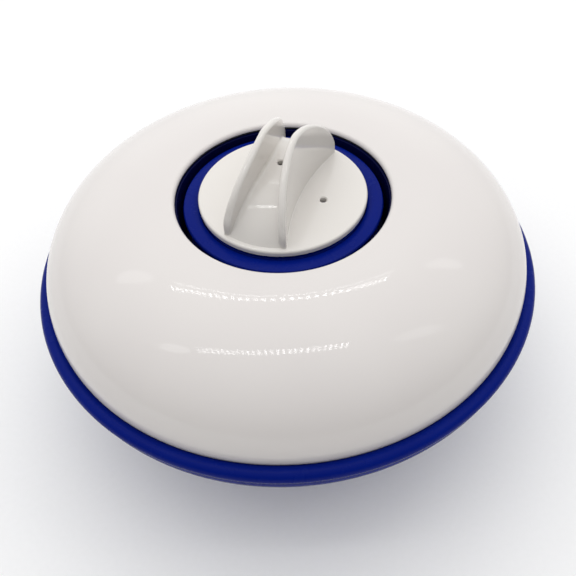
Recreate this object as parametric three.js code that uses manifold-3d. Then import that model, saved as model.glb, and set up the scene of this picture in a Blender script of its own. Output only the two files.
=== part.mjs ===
// Floating chlorine dispenser: a domed float with a push-and-turn lid, and a
// tablet canister with a turning flow sleeve that hangs below the float.
// Millimetres, +Z up. The origin is the centre of the flat foot, and the
// grip on the lid runs along Y.

import * as THREE from 'three';
import { mergeVertices } from 'three/addons/utils/BufferGeometryUtils.js';
import Module from 'manifold-3d';

// ---------- driving dimensions ----------

const SEGMENTS = 36; // steps round every turned piece
const WALL = 2.4; // moulded wall of the two float shells
const GAP = 0.3; // room between pieces that touch

// Float, a white dome over a blue base with a beaded rim
const RIM_Z = 88; // height of the bead's centre above the foot
const BEAD_R = 131;
const BEAD_TUBE = 4;
const DOME_R = 128.6;
const DOME_Z = RIM_Z + 7; // the dome is widest here
const CROWN_R = 61.8; // the flat crown starts here
const CROWN_Z = RIM_Z + 47.3;
const MOUTH_R = 55; // round opening in the dome
const LIP = 2; // rounding of the dome's lip
const BAND_R = 133.4; // upright wall just under the bead
const PAN_Z = 70; // underside of the base
const PAN_BEND = { r: 118, z: 82 }; // centre of the bend from pan to band
const CHANNEL = { in: 123.8, out: 127, floor: RIM_Z - 3 }; // holds the dome's edge
const CHANNEL_WALL = 2;
const EDGE_Z = RIM_Z - 0.8; // lower edge of the dome

// Neck, the blue cup and the collar that stands in it
const TUBE_R = 46; // bore through the base
const SHELF_Z = 104; // step that carries the collar
const CUP_R = 54.2;
const CUP_TOP = CROWN_Z - WALL - 1.4;
const SEAT_Z = 66; // underside of the boss that the nut pulls on
const SEAT_R = 59;
const CUP_WALL = 2.2;
const FLANGE_R = 50; // collar's flange on the shelf
const FLANGE_Z = SHELF_Z + 1.5;
const FLANGE_THICK = 3;
const COLLAR_R = 46; // collar above its flange
const DECK_R = 51.2;
const DECK_Z = RIM_Z + 42.2;
const BORE_R = 40.3; // mouth that the tablets go through
const GROOVE_R = 42.9; // lock groove, and the recess for the inner cap
const RECESS_Z = DECK_Z - 4.2;
const LEDGE_Z = 119.1; // underside of the bayonet ledge
const GROOVE_Z = 112;
const BARREL_R = 45.2;
const BARREL_IN = 42;
const BARREL_END = 57;
const NUT_R = 55;
const NUT_WAVE = 1.5;
const NUT_WAVES = 8;

// Bayonet: three lugs, each with an entry notch and two stops
const LOCKS = 3;
const LUG_ARC = 30; // degrees
const NOTCH_ARC = 36;
const LOCK_TURN = 50;
const STOP_ARC = 4;

// Lid
const LID_R = 43;
const LID_TOP = RIM_Z + 46.9;
const LID_THICK = 3.2;
const CAP_TOP = LID_TOP - LID_THICK - 2.4; // top of the inner cap
const CAP_THICK = 2;
const CAP_R = 42.3;
const PLUG_R = 39.6;
const PLUG_END = 112.5;
const VENT_R = 1.75;
const VENT_X = 21.6;
const HOOK_R = 30; // inside of the three snap hooks
const SPRING_R = 16;
const SPRING_WIRE = 0.35; // radius
const SPRING_WAVES = 4;

// Grip: two fins with a hollow web between them
const FIN = { half: 38, rise: 35.8, power: 1.5, root: 2.1, thick: 4 };
const WEB = { half: 40.3, rise: 18.3, power: 2.6, root: 1, skin: 2.8 };
const WAIST = 9.7; // half width of the grip at its middle
const FLARE = 6.2; // more at the ends
const FLARE_AT = 37;

// Canister
const CHAMBER_R = 39; // takes 76 mm tablets
const BASKET_R = 42.5;
const BASKET_Z = 14.5;
const BASKET_FLOOR = 17;
const BASKET_TOP = 72;
const SLEEVE_IN = 43.1;
const SLEEVE_OUT = 45.6;
const SLEEVE_Z = 17.6;
const SLEEVE_TOP = 54;
const SIDES = 4; // windows, slot groups and screws
const WINDOW = { width: 28, low: 24.5, high: 47.5 };
const SLOT_WIDTH = 3.4;
const SLOT_STEP = 5.6;
const GRATE = { thick: 2.5, step: 7, reach: 33 };
const RIB = { deep: 2.6, wide: 2, tall: 26, apart: 10 };
const FOOT_R = 47;
const FOOT_TOP = 17;
const FOOT_WALL = 2.6;
const SCREW_RING = 36.5;
const SCREW = { hole: 1.9, shank: 1.5, head: 3, recess: 3.4, low: 0.8, under: 3.6, tip: 16.5 };
const PILLAR_R = 5; // round each screw

// ---------- making and cutting solids ----------

const wasm = await Module();
wasm.setup();

const rad = THREE.MathUtils.degToRad;

// A closed geometry as a solid; slivers where a profile meets the axis go
function solid(geometry) {
  const bare = geometry.clone();
  bare.deleteAttribute('normal');
  bare.deleteAttribute('uv');
  const merged = mergeVertices(bare, 1e-4);
  const index = merged.index.array;
  const triangles = [];
  for (let i = 0; i < index.length; i += 3) {
    const [a, b, c] = [index[i], index[i + 1], index[i + 2]];
    if (a !== b && b !== c && c !== a) triangles.push(a, b, c);
  }
  return new wasm.Manifold(new wasm.Mesh({
    numProp: 3,
    vertProperties: new Float32Array(merged.attributes.position.array),
    triVerts: new Uint32Array(triangles),
  }));
}

function toGeometry(manifold) {
  const { vertProperties, triVerts } = manifold.getMesh();
  const geometry = new THREE.BufferGeometry();
  geometry.setAttribute('position', new THREE.BufferAttribute(vertProperties, 3));
  geometry.setIndex(new THREE.BufferAttribute(triVerts, 1));
  geometry.computeVertexNormals();
  return geometry;
}

// Turn a profile of [radius, height] points about Z. It runs anticlockwise,
// and closes on itself unless both its ends are on the axis.
function turned(profile) {
  const points = profile.map(([r, z]) => new THREE.Vector2(r, z));
  if (points[0].x > 0) points.push(points[0].clone());
  return solid(new THREE.LatheGeometry(points, SEGMENTS).rotateX(Math.PI / 2));
}

// Points of an elliptic arc, angles in degrees
function arc(r, z, a, b, from, to, steps) {
  const points = [];
  for (let i = 0; i <= steps; i++) {
    const t = rad(from + ((to - from) * i) / steps);
    points.push([r + a * Math.cos(t), z + b * Math.sin(t)]);
  }
  return points;
}

// A ring of square section
function ring(inner, outer, low, high) {
  return turned([[inner, low], [outer, low], [outer, high], [inner, high]]);
}

// A flat outline raised along Z
function prism(shape, low, high) {
  const options = { depth: high - low, bevelEnabled: false, curveSegments: 6 };
  return solid(new THREE.ExtrudeGeometry(shape, options).translate(0, 0, low));
}

// Part of a ring, centred on an angle, sizes across it in degrees
function sector(inner, outer, low, high, centre, across) {
  const from = rad(centre - across / 2);
  const to = rad(centre + across / 2);
  const shape = new THREE.Shape();
  shape.absarc(0, 0, outer, from, to, false);
  shape.absarc(0, 0, inner, to, from, true);
  return prism(shape, low, high);
}

function block(x, y, z, width, depth, height) {
  return solid(new THREE.BoxGeometry(width, depth, height).translate(x, y, z));
}

function rod(x, y, radius, low, high, steps = 16) {
  const bar = new THREE.CylinderGeometry(radius, radius, high - low, steps);
  return solid(bar.rotateX(Math.PI / 2).translate(x, y, (low + high) / 2));
}

// The same solid repeated evenly about Z
function around(piece, count, start = 0) {
  let all = piece.rotate([0, 0, start]);
  for (let i = 1; i < count; i++) {
    all = all.add(piece.rotate([0, 0, start + (360 * i) / count]));
  }
  return all;
}

// ---------- float ----------

function domeShell() {
  const outer = arc(CROWN_R, DOME_Z, DOME_R - CROWN_R, CROWN_Z - DOME_Z, 0, 90, 8);
  const inner = arc(CROWN_R, DOME_Z, DOME_R - CROWN_R - WALL, CROWN_Z - DOME_Z - WALL, 90, 0, 6);
  const skirt = MOUTH_R + 2; // stands round the cup and centres the dome
  const under = CROWN_Z - WALL;
  return turned([
    [124.1, EDGE_Z], [126.2, EDGE_Z], [127.2, RIM_Z + 2.5], [128.3, RIM_Z + 5],
    ...outer,
    ...arc(MOUTH_R + LIP, CROWN_Z - LIP, LIP, LIP, 90, 180, 3),
    [MOUTH_R, under], [skirt, under], [skirt, under - 11], [skirt + 2, under - 11],
    [skirt + 2, under],
    ...inner,
    [125.4, RIM_Z + 3],
  ]);
}

// Pan, band and beaded rim, with the channel that the dome's edge stands in
function baseShell() {
  const bend = PAN_BEND;
  const band = BAND_R - bend.r;
  const drop = bend.z - PAN_Z;
  const hole = TUBE_R + WALL + GAP;
  const back = CHANNEL.in - CHANNEL_WALL;
  const under = CHANNEL.floor - WALL;
  const lip = RIM_Z + 0.4;
  return turned([
    [hole, PAN_Z], ...arc(bend.r, bend.z, band, drop, -90, 0, 4),
    ...arc(BEAD_R, RIM_Z, BEAD_TUBE, BEAD_TUBE, -53, 180, 8),
    [CHANNEL.out, CHANNEL.floor], [CHANNEL.in, CHANNEL.floor],
    [CHANNEL.in, lip], [back, lip], [back, under], [BAND_R - WALL, under],
    ...arc(bend.r, bend.z, band - WALL, drop - WALL, 0, -90, 3),
    [hole, PAN_Z + WALL],
  ]);
}

// Stepped tube through the float: a flange under the pan, and the cup on top
function neckTube() {
  const flangeTop = PAN_Z - GAP;
  const cupOut = CUP_R + CUP_WALL;
  return turned([
    [TUBE_R, SEAT_Z], [SEAT_R, SEAT_Z], [SEAT_R + 1, SEAT_Z + 1], [SEAT_R + 1, flangeTop],
    [TUBE_R + WALL, flangeTop], [TUBE_R + WALL, SHELF_Z - WALL],
    [cupOut, SHELF_Z - WALL], [cupOut, CUP_TOP],
    [CUP_R, CUP_TOP], [CUP_R, SHELF_Z], [TUBE_R, SHELF_Z],
  ]);
}

const rimGasket = () => ring(124.4, 126.6, CHANNEL.floor + GAP, EDGE_Z - GAP);
const neckGasket = () => ring(55.2, 56.3, CUP_TOP + GAP, CROWN_Z - WALL - GAP);
const collarGasket = () => ring(46.6, 49.6, SHELF_Z + GAP, FLANGE_Z - GAP);

// Deck, bayonet throat and the barrel that goes down through the float
function neckCollar() {
  const flangeTop = FLANGE_Z + FLANGE_THICK;
  const body = turned([
    [BARREL_IN, BARREL_END], [BARREL_R, BARREL_END], [BARREL_R, FLANGE_Z],
    [FLANGE_R, FLANGE_Z], [FLANGE_R, flangeTop], [COLLAR_R, flangeTop],
    [COLLAR_R, DECK_Z - 3.2], [50.4, DECK_Z - 3.2],
    [DECK_R, DECK_Z - 2.6], [DECK_R, DECK_Z - 1.2], [50.3, DECK_Z - 0.3], [48.4, DECK_Z],
    [43.8, DECK_Z], [GROOVE_R, DECK_Z - 0.8], [GROOVE_R, RECESS_Z],
    [BORE_R, RECESS_Z], [BORE_R, LEDGE_Z], [GROOVE_R, LEDGE_Z],
    [GROOVE_R, GROOVE_Z], [BORE_R, GROOVE_Z], [BORE_R, 100], [BARREL_IN, 98.3],
  ]);
  const notch = sector(BORE_R - 1, GROOVE_R, LEDGE_Z - 1, RECESS_Z + 1, 0, NOTCH_ARC);
  const stop = (centre) => sector(
    BORE_R, GROOVE_R + 1, GROOVE_Z - 0.5, LEDGE_Z + 0.5, centre, STOP_ARC);
  const entryStop = stop(-NOTCH_ARC / 2 - STOP_ARC / 2);
  const lockStop = stop(LOCK_TURN + LUG_ARC / 2 + 3 + STOP_ARC / 2);
  return body
    .subtract(around(notch, LOCKS))
    .add(around(entryStop, LOCKS))
    .add(around(lockStop, LOCKS));
}

// Wavy hand nut under the base, pulling the collar down on its gasket
function retainingNut() {
  const steps = 72;
  const shape = new THREE.Shape();
  for (let i = 0; i < steps; i++) {
    const turn = (2 * Math.PI * i) / steps;
    const r = NUT_R + NUT_WAVE * Math.cos(NUT_WAVES * turn);
    const [x, y] = [r * Math.cos(turn), r * Math.sin(turn)];
    if (i === 0) shape.moveTo(x, y);
    else shape.lineTo(x, y);
  }
  return prism(shape, BARREL_END + 1, SEAT_Z - GAP)
    .subtract(rod(0, 0, BARREL_R + 0.5, BARREL_END, SEAT_Z, SEGMENTS));
}

// ---------- canister ----------

function tabletBasket() {
  const shoulder = BARREL_END - GAP;
  const wall = turned([
    [30, BASKET_Z], [BASKET_R, BASKET_Z], [BASKET_R, shoulder], [41.7, shoulder],
    [41.7, BASKET_TOP - 1], [40.7, BASKET_TOP], [CHAMBER_R, BASKET_TOP],
    [CHAMBER_R, BASKET_FLOOR], [30, BASKET_FLOOR],
  ]);
  const slotHeight = WINDOW.high - WINDOW.low;
  const middle = (WINDOW.high + WINDOW.low) / 2;
  const slot = block(BASKET_R - 2, 0, middle, 12, SLOT_WIDTH, slotHeight);
  let slots = slot;
  for (const place of [-2, -1, 1, 2]) {
    slots = slots.add(slot.translate([0, place * SLOT_STEP, 0]));
  }
  const pilot = rod(SCREW_RING, 0, SCREW.hole, BASKET_Z - 1, BASKET_FLOOR + 1);
  return wall
    .subtract(around(slots, SIDES))
    .subtract(around(pilot, SIDES, 45));
}

// Loose slotted floor that keeps the tablets off the screws
function tabletGrate() {
  const low = BASKET_FLOOR + GAP;
  let grate = rod(0, 0, CHAMBER_R - 0.6, low, low + GRATE.thick, SEGMENTS);
  for (let x = -4 * GRATE.step; x <= 4 * GRATE.step; x += GRATE.step) {
    const length = 2 * Math.sqrt(GRATE.reach ** 2 - x ** 2);
    grate = grate.subtract(block(x, 0, low + 1, SLOT_WIDTH, length, 6));
  }
  return grate;
}

// Sleeve whose windows uncover the slots, with finger ribs between them
function flowSleeve() {
  const middle = (WINDOW.high + WINDOW.low) / 2;
  const window = block(BASKET_R, 0, middle, 14, WINDOW.width, WINDOW.high - WINDOW.low);
  const rib = block(SLEEVE_OUT + 0.3, 0, middle, RIB.deep, RIB.wide, RIB.tall);
  const ribs = rib
    .add(rib.rotate([0, 0, -RIB.apart]))
    .add(rib.rotate([0, 0, RIB.apart]));
  return ring(SLEEVE_IN, SLEEVE_OUT, SLEEVE_Z, SLEEVE_TOP)
    .subtract(around(window, SIDES))
    .add(around(ribs, SIDES, 45));
}

const frictionRing = () => ring(42.9, 45, SLEEVE_TOP + 0.4, BARREL_END - GAP);
const ballastWeight = () => ring(6, 30.5, 2.9, 13.4);

// Flat-bottomed foot with the ballast in it and four screw bosses
function ballastCap() {
  const cup = turned([
    [0, 0], [FOOT_R - 1.2, 0], [FOOT_R, 1.2], [FOOT_R, FOOT_TOP],
    [FOOT_R - FOOT_WALL, FOOT_TOP], [FOOT_R - FOOT_WALL, FOOT_WALL], [0, FOOT_WALL],
  ]);
  const boss = rod(SCREW_RING, 0, PILLAR_R, 1, BASKET_Z - GAP);
  const hole = rod(SCREW_RING, 0, SCREW.hole, -1, BASKET_Z)
    .add(rod(SCREW_RING, 0, SCREW.recess, -1, SCREW.under + GAP));
  return cup
    .add(around(boss, SIDES, 45))
    .subtract(around(hole, SIDES, 45));
}

// Pan-head screw with a cross recess, pointing up
function capScrew() {
  const head = rod(0, 0, SCREW.head, SCREW.low, SCREW.under, 20);
  const arm = block(0, 0, SCREW.low + 0.1, 3.6, 0.8, 2);
  const shank = rod(0, 0, SCREW.shank, SCREW.under - 0.2, SCREW.tip, 12);
  return head.add(shank).subtract(arm.add(arm.rotate([0, 0, 90])));
}

// ---------- lid ----------

// Height of a fin or of the web at a distance y from the middle
function rise(part, y) {
  const left = Math.max(0, 1 - (Math.abs(y) / part.half) ** part.power);
  return part.rise * left ** (1 / part.root);
}

// Hourglass half width of the grip at y
const halfWidth = (y) => WAIST + FLARE * (y / FLARE_AT) ** 2;

// Side view of a fin or web as a wall across X, standing on the plate
function sideView(part, reach, sink, drop) {
  const steps = 20;
  const shape = new THREE.Shape();
  shape.moveTo(-reach, -sink);
  for (let i = 0; i <= steps; i++) {
    const y = -reach * Math.cos((Math.PI * i) / steps);
    shape.lineTo(y, rise(part, y) - drop);
  }
  shape.lineTo(reach, -sink);
  const options = { depth: 60, bevelEnabled: false };
  const wall = new THREE.ExtrudeGeometry(shape, options);
  wall.rotateX(Math.PI / 2).rotateZ(Math.PI / 2).translate(-30, 0, LID_TOP);
  return solid(wall);
}

// Plan view between two half widths that follow the hourglass
function planBand(near, far) {
  const steps = 12;
  const reach = 40;
  const shape = new THREE.Shape();
  shape.moveTo(near(-reach), -reach);
  for (let i = 0; i <= steps; i++) {
    const y = reach * (-1 + (2 * i) / steps);
    shape.lineTo(far(y), y);
  }
  for (let i = 0; i <= steps; i++) {
    const y = reach * (1 - (2 * i) / steps);
    shape.lineTo(near(y), y);
  }
  return prism(shape, LID_TOP - 10, LID_TOP + 50);
}

function grip() {
  const fin = planBand((y) => halfWidth(y) - FIN.thick, halfWidth)
    .intersect(sideView(FIN, FIN.half, 1, 0));
  const web = planBand((y) => 1 - halfWidth(y), (y) => halfWidth(y) - 1)
    .intersect(sideView(WEB, WEB.half, 1, 0))
    .intersect(rod(0, 0, WEB.half, LID_TOP - 2, LID_TOP + 40, SEGMENTS));
  return fin.add(fin.rotate([0, 0, 180])).add(web);
}

// Snap leg with its hook turned outwards
function snapHook() {
  const low = CAP_TOP - CAP_THICK - 2.8;
  const catchTop = CAP_TOP - CAP_THICK - GAP;
  const shape = new THREE.Shape();
  shape.moveTo(HOOK_R, low);
  shape.lineTo(HOOK_R + 2, low);
  shape.lineTo(HOOK_R + 3.6, catchTop - 0.8);
  shape.lineTo(HOOK_R + 3.6, catchTop);
  shape.lineTo(HOOK_R + 2, catchTop);
  shape.lineTo(HOOK_R + 2, LID_TOP - 1);
  shape.lineTo(HOOK_R, LID_TOP - 1);
  const leg = new THREE.ExtrudeGeometry(shape, { depth: 7, bevelEnabled: false });
  return solid(leg.rotateX(Math.PI / 2).translate(0, 3.5, 0));
}

function lid() {
  const low = LID_TOP - LID_THICK;
  const plate = turned([
    [0, low], [LID_R - 0.8, low], [LID_R, low + 0.8],
    ...arc(LID_R - 1.2, LID_TOP - 1.2, 1.2, 1.2, 0, 90, 3),
    [0, LID_TOP],
  ]);
  const hollow = block(0, 0, LID_TOP, 10.4, 60, 60)
    .intersect(sideView(WEB, 30, LID_THICK + 1, WEB.skin));
  const vents = rod(VENT_X, 0, VENT_R, low - 1, LID_TOP + 1)
    .add(rod(-VENT_X, 0, VENT_R, low - 1, LID_TOP + 1))
    .add(rod(0, 0, VENT_R, LID_TOP + 10, LID_TOP + WEB.rise + 1));
  return plate
    .add(grip())
    .subtract(hollow)
    .subtract(vents)
    .add(around(snapHook(), LOCKS, 60));
}

// Plug with the bayonet lugs, which the lid presses down and turns
function innerCap() {
  const under = CAP_TOP - CAP_THICK;
  const body = turned([
    [0, under], [PLUG_R - 2.2, under], [PLUG_R - 2.2, PLUG_END], [PLUG_R, PLUG_END],
    [PLUG_R, under], [CAP_R, under], [CAP_R, CAP_TOP], [0, CAP_TOP],
  ]);
  const lug = sector(PLUG_R - 0.4, GROOVE_R - 0.5, LEDGE_Z - 4.6, LEDGE_Z - 0.4, 0, LUG_ARC);
  const slot = sector(HOOK_R - 0.6, HOOK_R + 2.4, under - 1, CAP_TOP + 1, 0, 18);
  return body
    .add(around(lug, LOCKS))
    .subtract(around(slot, LOCKS, 60))
    .subtract(rod(0, 0, 3, under - 1, CAP_TOP + 1));
}

const lidGasket = () => ring(
  BORE_R + 0.4, GROOVE_R - 0.4, RECESS_Z + GAP, CAP_TOP - CAP_THICK - GAP);

// Split wave washer of round wire between the inner cap and the lid
function lidSpring() {
  const gapLow = CAP_TOP + GAP;
  const gapHigh = LID_TOP - LID_THICK - GAP;
  const middle = (gapLow + gapHigh) / 2;
  const swing = (gapHigh - gapLow) / 2 - SPRING_WIRE;
  const points = [];
  for (let turn = 4; turn <= 356; turn += 11) {
    const t = rad(turn);
    points.push(new THREE.Vector3(
      SPRING_R * Math.cos(t), SPRING_R * Math.sin(t),
      middle + swing * Math.sin(SPRING_WAVES * t)));
  }
  const wire = new THREE.Shape().absarc(0, 0, SPRING_WIRE, 0, 2 * Math.PI, false);
  const options = {
    steps: 56, curveSegments: 2, extrudePath: new THREE.CatmullRomCurve3(points),
  };
  return solid(new THREE.ExtrudeGeometry(wire, options));
}

// ---------- assembly ----------

const FINISH = {
  whiteGloss: { color: '#eceae8', roughness: 0.22, metalness: 0 },
  blueGloss: { color: '#0a1f8c', roughness: 0.3, metalness: 0 },
  navySatin: { color: '#060d3a', roughness: 0.35, metalness: 0 },
  whiteMatt: { color: '#dfe1df', roughness: 0.55, metalness: 0 },
  rubber: { color: '#1b1b1c', roughness: 0.8, metalness: 0 },
  castIron: { color: '#4c4d50', roughness: 0.6, metalness: 0.9 },
  stainless: { color: '#b9bbbe', roughness: 0.35, metalness: 1 },
};

const part = new THREE.Group();

function place(group, name, manifold, finish) {
  const material = new THREE.MeshStandardMaterial(FINISH[finish]);
  const mesh = new THREE.Mesh(toGeometry(manifold), material);
  mesh.name = name;
  group.add(mesh);
  return mesh;
}

function addFloat() {
  const group = new THREE.Group();
  place(group, 'dome_shell', domeShell(), 'whiteGloss');
  place(group, 'base_shell', baseShell(), 'blueGloss');
  place(group, 'neck_tube', neckTube(), 'navySatin');
  place(group, 'rim_gasket', rimGasket(), 'rubber');
  place(group, 'neck_gasket', neckGasket(), 'rubber');
  place(group, 'neck_collar', neckCollar(), 'blueGloss');
  place(group, 'collar_gasket', collarGasket(), 'rubber');
  place(group, 'retaining_nut', retainingNut(), 'blueGloss');
  part.add(group);
}

function addCanister() {
  const group = new THREE.Group();
  place(group, 'tablet_basket', tabletBasket(), 'whiteMatt');
  place(group, 'tablet_grate', tabletGrate(), 'whiteMatt');
  place(group, 'flow_sleeve', flowSleeve(), 'blueGloss');
  place(group, 'sleeve_friction_ring', frictionRing(), 'rubber');
  place(group, 'ballast_weight', ballastWeight(), 'castIron');
  place(group, 'ballast_cap', ballastCap(), 'blueGloss');
  const screw = capScrew();
  for (let i = 0; i < SIDES; i++) {
    const turn = rad(45 + (360 * i) / SIDES);
    const mesh = place(group, `cap_screw_${i + 1}`, screw, 'stainless');
    mesh.position.set(SCREW_RING * Math.cos(turn), SCREW_RING * Math.sin(turn), 0);
    mesh.rotation.z = turn;
  }
  part.add(group);
}

function addLid() {
  const group = new THREE.Group();
  place(group, 'lid', lid(), 'whiteGloss');
  place(group, 'lid_spring', lidSpring(), 'stainless');
  place(group, 'inner_cap', innerCap(), 'blueGloss');
  place(group, 'lid_gasket', lidGasket(), 'rubber');
  part.add(group);
}

addFloat();
addCanister();
addLid();

export default part;
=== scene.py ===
"""Floating chlorine dispenser: glossy white dome on a blue beaded float, a lid
with a two-fin grip, and the tablet canister with its turning sleeve below.

Profiles are in millimetres as (radius, height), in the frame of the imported
model: +Z up, the foot at height 0 and the grip along Y."""

import math

import bpy
from mathutils import Matrix, Vector


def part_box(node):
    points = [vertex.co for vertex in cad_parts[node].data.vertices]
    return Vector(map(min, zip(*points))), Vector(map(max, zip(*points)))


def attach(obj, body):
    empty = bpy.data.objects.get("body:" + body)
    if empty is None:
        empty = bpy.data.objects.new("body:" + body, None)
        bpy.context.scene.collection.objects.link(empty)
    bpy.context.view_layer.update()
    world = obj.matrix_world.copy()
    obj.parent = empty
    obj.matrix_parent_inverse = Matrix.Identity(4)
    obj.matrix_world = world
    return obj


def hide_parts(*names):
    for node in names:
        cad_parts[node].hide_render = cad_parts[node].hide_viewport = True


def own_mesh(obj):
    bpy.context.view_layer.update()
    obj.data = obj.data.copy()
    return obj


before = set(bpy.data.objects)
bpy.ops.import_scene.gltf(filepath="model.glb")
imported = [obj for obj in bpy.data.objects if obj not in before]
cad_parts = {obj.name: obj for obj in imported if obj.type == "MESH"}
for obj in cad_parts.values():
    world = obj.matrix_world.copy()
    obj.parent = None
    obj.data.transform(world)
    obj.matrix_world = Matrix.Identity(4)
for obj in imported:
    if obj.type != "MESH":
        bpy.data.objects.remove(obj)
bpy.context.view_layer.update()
MM = 0.001
MERGE = 0.02  # points closer than this are one


def top(node):
    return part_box(node)[1].z / MM


def foot(node):
    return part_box(node)[0].z / MM


def radius(node):
    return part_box(node)[1].y / MM


# ---------- dimensions, some of them read from the imported nodes ---

WALL = 2.4
GAP = 0.3  # room between pieces that touch
STEPS = 144  # round a turned piece
FINE = 192  # round the big white and blue pieces
LOCKS = 3
SIDES = 4

# Dome: its lower edge stands in the base's channel
EDGE_DROP = 0.8
RIM_Z = foot("dome_shell") + EDGE_DROP  # height of the bead's centre
EDGE_IN = 124.1
EDGE_OUT = 126.2
EDGE_SWEEP = [  # outside, from the bead up to the widest place, heights above the rim
    (126.8, 0.4), (127.0, 1.1), (127.4, 2.1), (128.0, 2.9), (128.35, 3.4), (128.5, 4.4),
    (128.57, 5.6)]
EDGE_INSIDE = (125.4, 3)
DOME_R = radius("dome_shell")
DOME_Z = RIM_Z + 7.0
CROWN_Z = top("dome_shell")
CROWN_R = 61.8
CROWN_FLAT = (60.2, 58.6)
MOUTH_R = 55.0
LIP = 2.0
SKIRT_IN = MOUTH_R + 2
SKIRT_OUT = MOUTH_R + 4
SKIRT_DEEP = 11
SKIRT_EDGE = 0.3

# Base
BEAD_R = 131.0
BEAD = 4.0
BEAD_START = -53  # degrees, where the bead leaves the band
BAND_R = 133.4
PAN_BEND_R = 118.0
PAN_BEND_Z = 82.0
CHANNEL_IN = 123.8
CHANNEL_OUT = 127
CHANNEL_DEEP = 3
CHANNEL_WALL = 2
CHANNEL_TOP = RIM_Z + 0.4

# Neck tube and cup
CUP_R = 54.2
CUP_WALL = 2.2
CUP_FILLET = 1.5
CUP_TOP = top("neck_tube")
SHELF_Z = 104.0
TUBE_R = 46.0

# Gaskets: their inner radii
GASKET_IN = {
    "rim_gasket": 124.4, "neck_gasket": 55.2, "collar_gasket": 46.6,
    "sleeve_friction_ring": 42.9, "lid_gasket": 40.7}
GASKET_EDGE = 0.5

# Collar
BARREL_IN = 42
BARREL_R = 45.2
BARREL_END = 57
FLANGE_R = 50
FLANGE_Z = SHELF_Z + 1.5
FLANGE_THICK = 3
COLLAR_R = 46
DECK_R = radius("neck_collar")
DECK_Z = top("neck_collar")
DECK_OUT = 50.6
DECK_WIDE = 7.2
DECK_CREST = 0.35  # it is slightly domed between its edges
DECK_EDGE_Z = DECK_Z - 3.2
BORE_R = 40.3
GROOVE_R = 42.9
RECESS_Z = DECK_Z - 4.2
LEDGE_Z = 119.1
GROOVE_Z = 112.0
BORE_END = 100

# Bayonet and snap hooks, arcs in degrees
LUG_ARC = 30
NOTCH_ARC = 36
STOP_ARC = 4
LOCK_TURN = 50
LOCK_PLAY = 3
HOOK_TURN = 60  # from the lugs
HOOK_ARC = 13
HOOK_SLOT_ARC = 18
HOOK_R = 30
HOOK_THICK = 2
HOOK_CATCH = 1.6

# Hand nut
NUT_R = 55
NUT_IN = 45.7
NUT_EDGE = 1.2
NUT_WAVE = 1.5
NUT_WAVES = 8
NUT_ROOT = 50  # the waves grow from here outwards

# Canister
CHAMBER_R = 39
BASKET_R = 42.5
BASKET_BORE = 30
BASKET_FLOOR = 17
SHOULDER_R = 41.7
SHOULDER_Z = 56.7
SLEEVE_IN = 43.1
SLEEVE_OUT = 45.6
WINDOW = {"width": 28.0, "low": 24.5, "high": 47.5}
WINDOW_CUT = 14  # how deep its cutter is
WINDOW_EDGE = 1.2
SLOT_WIDTH = 3.4
SLOT_STEP = 5.6
GRATE_R = 38.4
GRATE_STEP = 7.0
GRATE_REACH = 33
RIB = {"r": 45.75, "z": 36, "size": (2.7, 2, 26), "turns": (35, 45, 55), "edge": 0.5}

# Foot, ballast and screws
FOOT_R = 47
FOOT_FLAT = 38
FOOT_EDGE = 2.0
FOOT_WALL_IN = 44.4
FOOT_FLOOR = 2.6
FOOT_FILLET = 1.2
PILLAR_R = 5  # round each screw
PILLAR_TOP = 14.2
WEIGHT_IN = 6
WEIGHT_OUT = 30.5
SCREW_RING = 36.5
SCREW_XY = SCREW_RING * math.cos(math.pi / 4)
SCREW_HOLE = 1.9
SCREW_SHANK = 1.5
SCREW_HEAD = 3
SCREW_RECESS = (3.4, 3.9)  # radius and depth of its recess in the foot
SCREW_LOW = 0.8
SCREW_UNDER = 3.6  # underside of the head
SCREW_TIP = 16.5
CROSS = (3.6, 0.8, 2)

# Lid
LID_R = radius("lid")
LID_TOP = RIM_Z + 46.9
LID_LOW = LID_TOP - 3.2
LID_EDGE = 1.3
VENT_R = 1.75
VENT_EDGE = 0.55  # broken edge at its top
VENT_X = 21.6

# Grip: two fins with a hollow web between them
FIN_RISE = top("lid") - LID_TOP
FIN_HALF = 38.0
FIN_THICK = 4.0
FIN_POWER = 1.5
FIN_ROOT = 2.1
FIN_TIP = 1.6  # rounding of the rim
FIN_FOOT = 0.5  # fillet at the plate
FIN_END = 1.4  # radius of the upright edges at both ends
FIN_DRAFT = 0.2
WEB_RISE = 18.3
WEB_HALF = 40.3
WEB_POWER = 2.6
WEB_SKIN = 2.8
WEB_FILLET = 1.5
HOLLOW_HALF = 30
HOLLOW_WIDE = 5.2
WAIST = 9.7
FLARE = 6.2
FLARE_AT = 37.0

# Inner cap and wave washer
CAP_TOP = top("inner_cap")
CAP_UNDER = CAP_TOP - 2.0
CAP_R = 42.3
PLUG_IN = 37.4
PLUG_R = 39.6
LUG_OUT = 42.4
LUG_EDGE = 0.4
LUG_LOW = 114.5
LUG_HIGH = 118.7
GAS_HOLE_R = 3
WASHER_R = 16
WASHER_WIRE = 0.35  # radius
WASHER_WAVES = 4
WASHER_SPLIT = 3.5  # degrees either side of the cut


# ---------- small modelling tools ----------


def deselect():
    if bpy.context.object and bpy.context.object.mode != "OBJECT":
        bpy.ops.object.mode_set(mode="OBJECT")
    bpy.ops.object.select_all(action="DESELECT")


def edit(piece, how="FACE"):
    deselect()
    bpy.context.view_layer.objects.active = piece
    piece.select_set(True)
    bpy.ops.object.mode_set(mode="EDIT")
    bpy.ops.mesh.select_mode(type=how)


def leave():
    bpy.ops.object.mode_set(mode="OBJECT")
    return bpy.context.object


def settle(piece):
    """Put a piece's place into its mesh, so its object sits at the origin."""
    deselect()
    bpy.context.view_layer.objects.active = piece
    piece.select_set(True)
    bpy.ops.object.transform_apply(location=True, rotation=True, scale=True)
    return piece


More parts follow.
